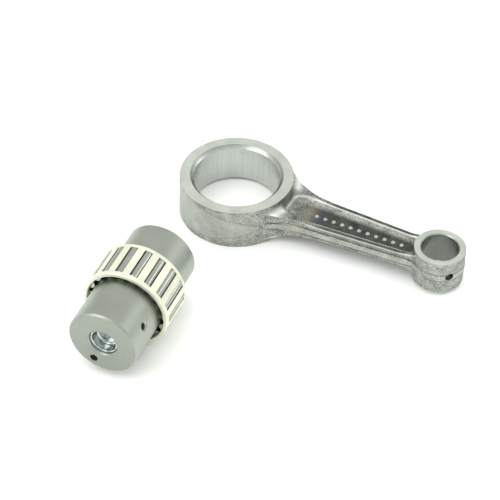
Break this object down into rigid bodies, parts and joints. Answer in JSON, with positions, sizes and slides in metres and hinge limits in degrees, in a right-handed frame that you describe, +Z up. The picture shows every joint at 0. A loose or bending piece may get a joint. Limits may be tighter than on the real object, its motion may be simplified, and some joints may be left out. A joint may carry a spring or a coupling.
{
  "type": "connecting rod",
  "caption": "Forged I-section connecting rod with a round bore at each end, lying beside its pressed-in crank pin with a caged needle roller bearing on it.",
  "frame": {"origin": "centre of the big-end bore, on the forging's mid-plane", "axes": "+X from the big end to the small end, +Z up along the big-end bore, +Y to the left of the rod; the crank pin set lies on the -Y side with its axis close to Y"},
  "size_m": [0.1395, 0.1479, 0.0398],
  "materials": {
    "forged_steel": "as-forged shank with machined ring faces and bores",
    "ground_steel": "fine-ground, matte",
    "zinc_plate": "bright zinc plate",
    "silver_plate": "soft silver plate",
    "bearing_steel": "polished"
  },
  "bodies": {
    "rod": {"rod_forging": "forged_steel"},
    "cage": {"bearing_cage": "silver_plate"},
    "crank_pin": {"crank_pin": "ground_steel", "pin_plug_front": "zinc_plate", "pin_plug_rear": "zinc_plate"},
    "needle_01": {"needle_01": "bearing_steel"},
    "needle_02": {"needle_02": "bearing_steel"},
    "needle_03": {"needle_03": "bearing_steel"},
    "needle_04": {"needle_04": "bearing_steel"},
    "needle_05": {"needle_05": "bearing_steel"},
    "needle_06": {"needle_06": "bearing_steel"},
    "needle_07": {"needle_07": "bearing_steel"},
    "needle_08": {"needle_08": "bearing_steel"},
    "needle_09": {"needle_09": "bearing_steel"},
    "needle_10": {"needle_10": "bearing_steel"},
    "needle_11": {"needle_11": "bearing_steel"},
    "needle_12": {"needle_12": "bearing_steel"},
    "needle_13": {"needle_13": "bearing_steel"},
    "needle_14": {"needle_14": "bearing_steel"},
    "needle_15": {"needle_15": "bearing_steel"},
    "needle_16": {"needle_16": "bearing_steel"},
    "needle_17": {"needle_17": "bearing_steel"},
    "needle_18": {"needle_18": "bearing_steel"}
  },
  "joints": [
    {"name": "set_lift", "type": "slide", "parent": "rod", "child": "cage", "axis": [0, 0, 1], "range_m": [0, 0.06]},
    {"name": "pin_spin", "type": "hinge", "parent": "cage", "child": "crank_pin", "pos_m": [-0.00579, -0.0887, 0.0094], "axis": [-0.0523, 0.9986, 0], "continuous": true},
    {"name": "needle_01_spin", "type": "hinge", "parent": "cage", "child": "needle_01", "pos_m": [-0.00267, -0.08854, 0.02713], "axis": [-0.0523, 0.9986, 0], "continuous": true},
    {"name": "needle_02_spin", "type": "hinge", "parent": "cage", "child": "needle_02", "pos_m": [0.00319, -0.08823, 0.02499], "axis": [-0.0523, 0.9986, 0], "continuous": true},
    {"name": "needle_03_spin", "type": "hinge", "parent": "cage", "child": "needle_03", "pos_m": [0.00798, -0.08798, 0.02097], "axis": [-0.0523, 0.9986, 0], "continuous": true},
    {"name": "needle_04_spin", "type": "hinge", "parent": "cage", "child": "needle_04", "pos_m": [0.0111, -0.08782, 0.01556], "axis": [-0.0523, 0.9986, 0], "continuous": true},
    {"name": "needle_05_spin", "type": "hinge", "parent": "cage", "child": "needle_05", "pos_m": [0.01218, -0.08776, 0.0094], "axis": [-0.0523, 0.9986, 0], "continuous": true},
    {"name": "needle_06_spin", "type": "hinge", "parent": "cage", "child": "needle_06", "pos_m": [0.0111, -0.08782, 0.00324], "axis": [-0.0523, 0.9986, 0], "continuous": true},
    {"name": "needle_07_spin", "type": "hinge", "parent": "cage", "child": "needle_07", "pos_m": [0.00798, -0.08798, -0.00217], "axis": [-0.0523, 0.9986, 0], "continuous": true},
    {"name": "needle_08_spin", "type": "hinge", "parent": "cage", "child": "needle_08", "pos_m": [0.00319, -0.08823, -0.00619], "axis": [-0.0523, 0.9986, 0], "continuous": true},
    {"name": "needle_09_spin", "type": "hinge", "parent": "cage", "child": "needle_09", "pos_m": [-0.00267, -0.08854, -0.00833], "axis": [-0.0523, 0.9986, 0], "continuous": true},
    {"name": "needle_10_spin", "type": "hinge", "parent": "cage", "child": "needle_10", "pos_m": [-0.00892, -0.08887, -0.00833], "axis": [-0.0523, 0.9986, 0], "continuous": true},
    {"name": "needle_11_spin", "type": "hinge", "parent": "cage", "child": "needle_11", "pos_m": [-0.01478, -0.08917, -0.00619], "axis": [-0.0523, 0.9986, 0], "continuous": true},
    {"name": "needle_12_spin", "type": "hinge", "parent": "cage", "child": "needle_12", "pos_m": [-0.01956, -0.08942, -0.00217], "axis": [-0.0523, 0.9986, 0], "continuous": true},
    {"name": "needle_13_spin", "type": "hinge", "parent": "cage", "child": "needle_13", "pos_m": [-0.02269, -0.08959, 0.00324], "axis": [-0.0523, 0.9986, 0], "continuous": true},
    {"name": "needle_14_spin", "type": "hinge", "parent": "cage", "child": "needle_14", "pos_m": [-0.02377, -0.08964, 0.0094], "axis": [-0.0523, 0.9986, 0], "continuous": true},
    {"name": "needle_15_spin", "type": "hinge", "parent": "cage", "child": "needle_15", "pos_m": [-0.02269, -0.08959, 0.01556], "axis": [-0.0523, 0.9986, 0], "continuous": true},
    {"name": "needle_16_spin", "type": "hinge", "parent": "cage", "child": "needle_16", "pos_m": [-0.01956, -0.08942, 0.02097], "axis": [-0.0523, 0.9986, 0], "continuous": true},
    {"name": "needle_17_spin", "type": "hinge", "parent": "cage", "child": "needle_17", "pos_m": [-0.01478, -0.08917, 0.02499], "axis": [-0.0523, 0.9986, 0], "continuous": true},
    {"name": "needle_18_spin", "type": "hinge", "parent": "cage", "child": "needle_18", "pos_m": [-0.00892, -0.08887, 0.02713], "axis": [-0.0523, 0.9986, 0], "continuous": true}
  ],
  "couplings": [
    {"joint": "needle_01_spin", "follows": "pin_spin", "ratio": -8.0402},
    {"joint": "needle_02_spin", "follows": "pin_spin", "ratio": -8.0402},
    {"joint": "needle_03_spin", "follows": "pin_spin", "ratio": -8.0402},
    {"joint": "needle_04_spin", "follows": "pin_spin", "ratio": -8.0402},
    {"joint": "needle_05_spin", "follows": "pin_spin", "ratio": -8.0402},
    {"joint": "needle_06_spin", "follows": "pin_spin", "ratio": -8.0402},
    {"joint": "needle_07_spin", "follows": "pin_spin", "ratio": -8.0402},
    {"joint": "needle_08_spin", "follows": "pin_spin", "ratio": -8.0402},
    {"joint": "needle_09_spin", "follows": "pin_spin", "ratio": -8.0402},
    {"joint": "needle_10_spin", "follows": "pin_spin", "ratio": -8.0402},
    {"joint": "needle_11_spin", "follows": "pin_spin", "ratio": -8.0402},
    {"joint": "needle_12_spin", "follows": "pin_spin", "ratio": -8.0402},
    {"joint": "needle_13_spin", "follows": "pin_spin", "ratio": -8.0402},
    {"joint": "needle_14_spin", "follows": "pin_spin", "ratio": -8.0402},
    {"joint": "needle_15_spin", "follows": "pin_spin", "ratio": -8.0402},
    {"joint": "needle_16_spin", "follows": "pin_spin", "ratio": -8.0402},
    {"joint": "needle_17_spin", "follows": "pin_spin", "ratio": -8.0402},
    {"joint": "needle_18_spin", "follows": "pin_spin", "ratio": -8.0402}
  ]
}
